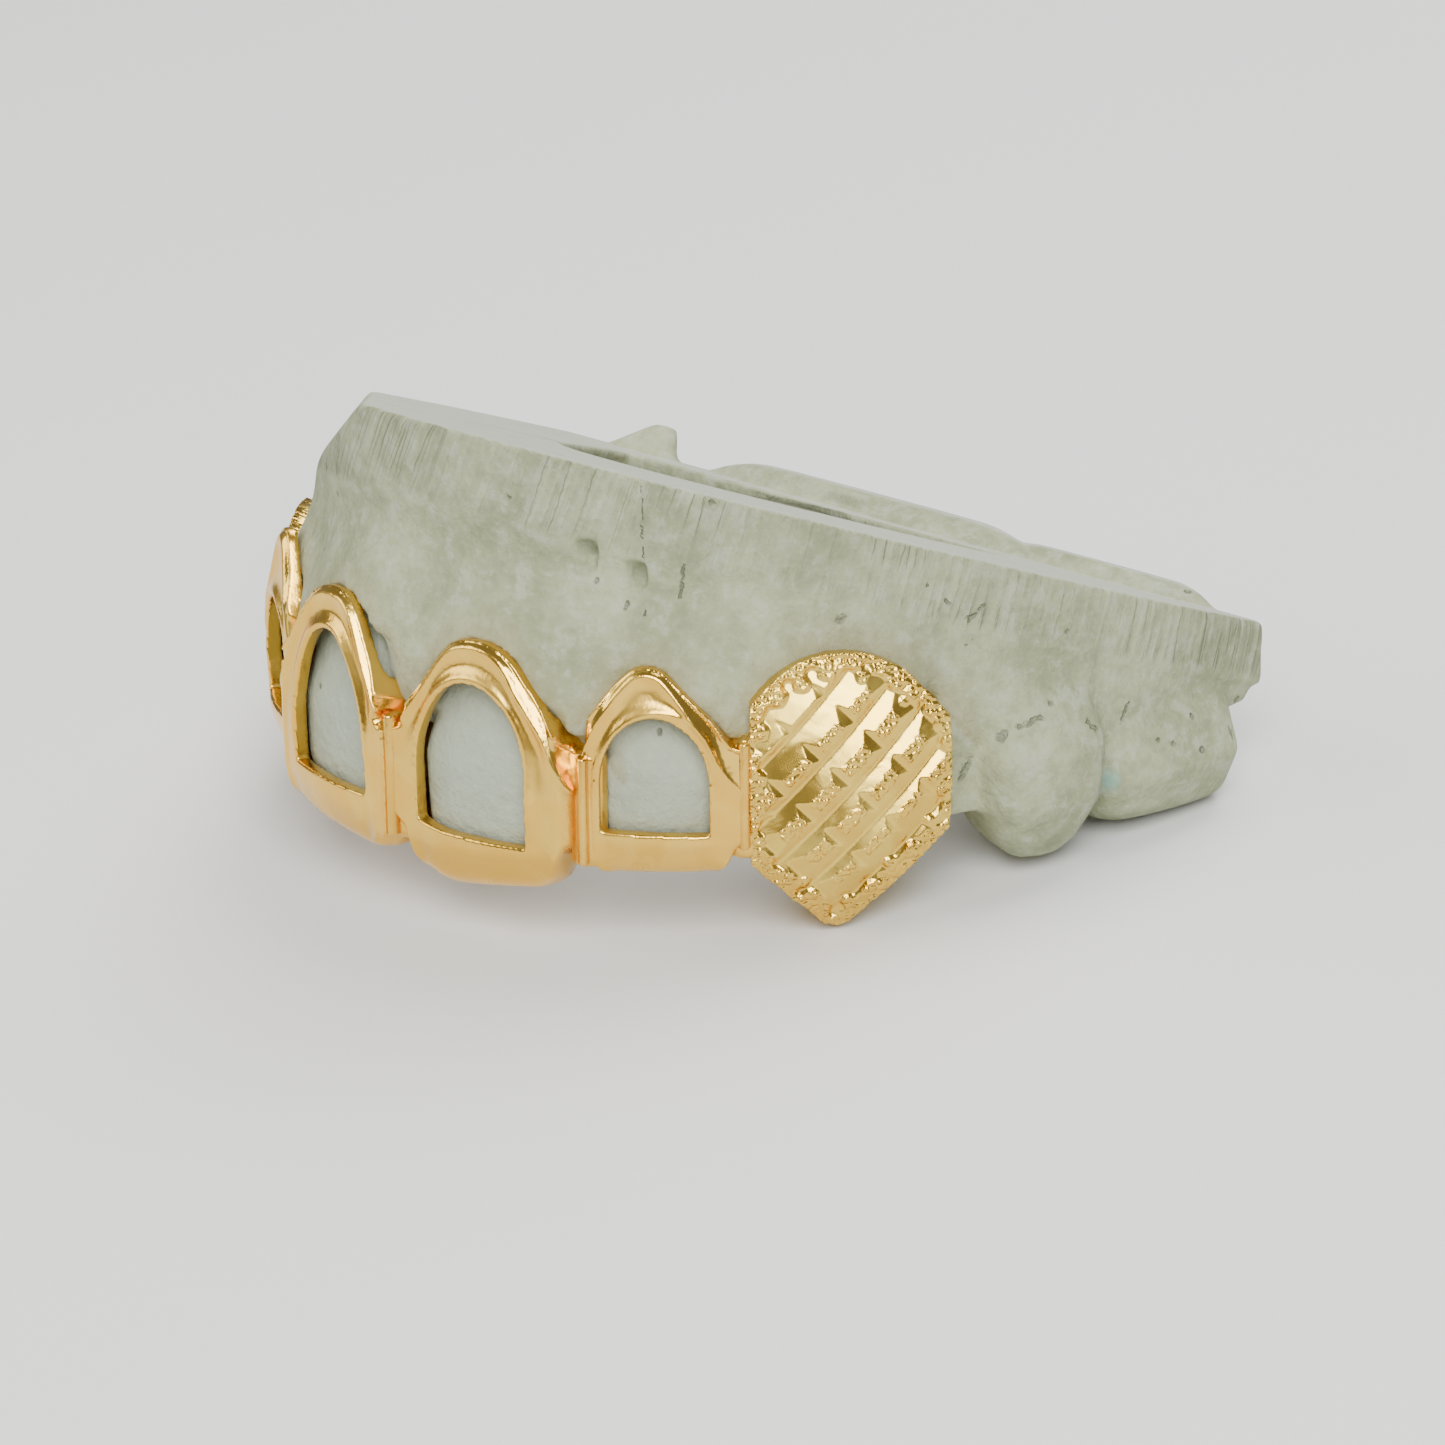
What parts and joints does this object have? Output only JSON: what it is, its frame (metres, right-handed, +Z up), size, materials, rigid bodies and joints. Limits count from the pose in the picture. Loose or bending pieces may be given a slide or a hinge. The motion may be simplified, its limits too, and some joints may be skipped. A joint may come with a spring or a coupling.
{
  "type": "gold tooth covers on a dental cast",
  "caption": "Row of joined gold tooth covers, four open-faced and two pointed with a crossed diamond-cut face, seated on a plaster dental cast with a sloping ground base.",
  "frame": {"origin": "centre of the bounding box in plan, on the surface that the tooth tips rest on", "axes": "+Z up, +Y from the front teeth towards the throat, +X towards the left side of the mouth"},
  "size_m": [0.0454, 0.0332, 0.0219],
  "materials": {
    "gold": "polished",
    "dental_stone": "matt ground plaster"
  },
  "bodies": {
    "root": {"tooth_covers": "gold", "dental_cast": "dental_stone"}
  },
  "joints": []
}
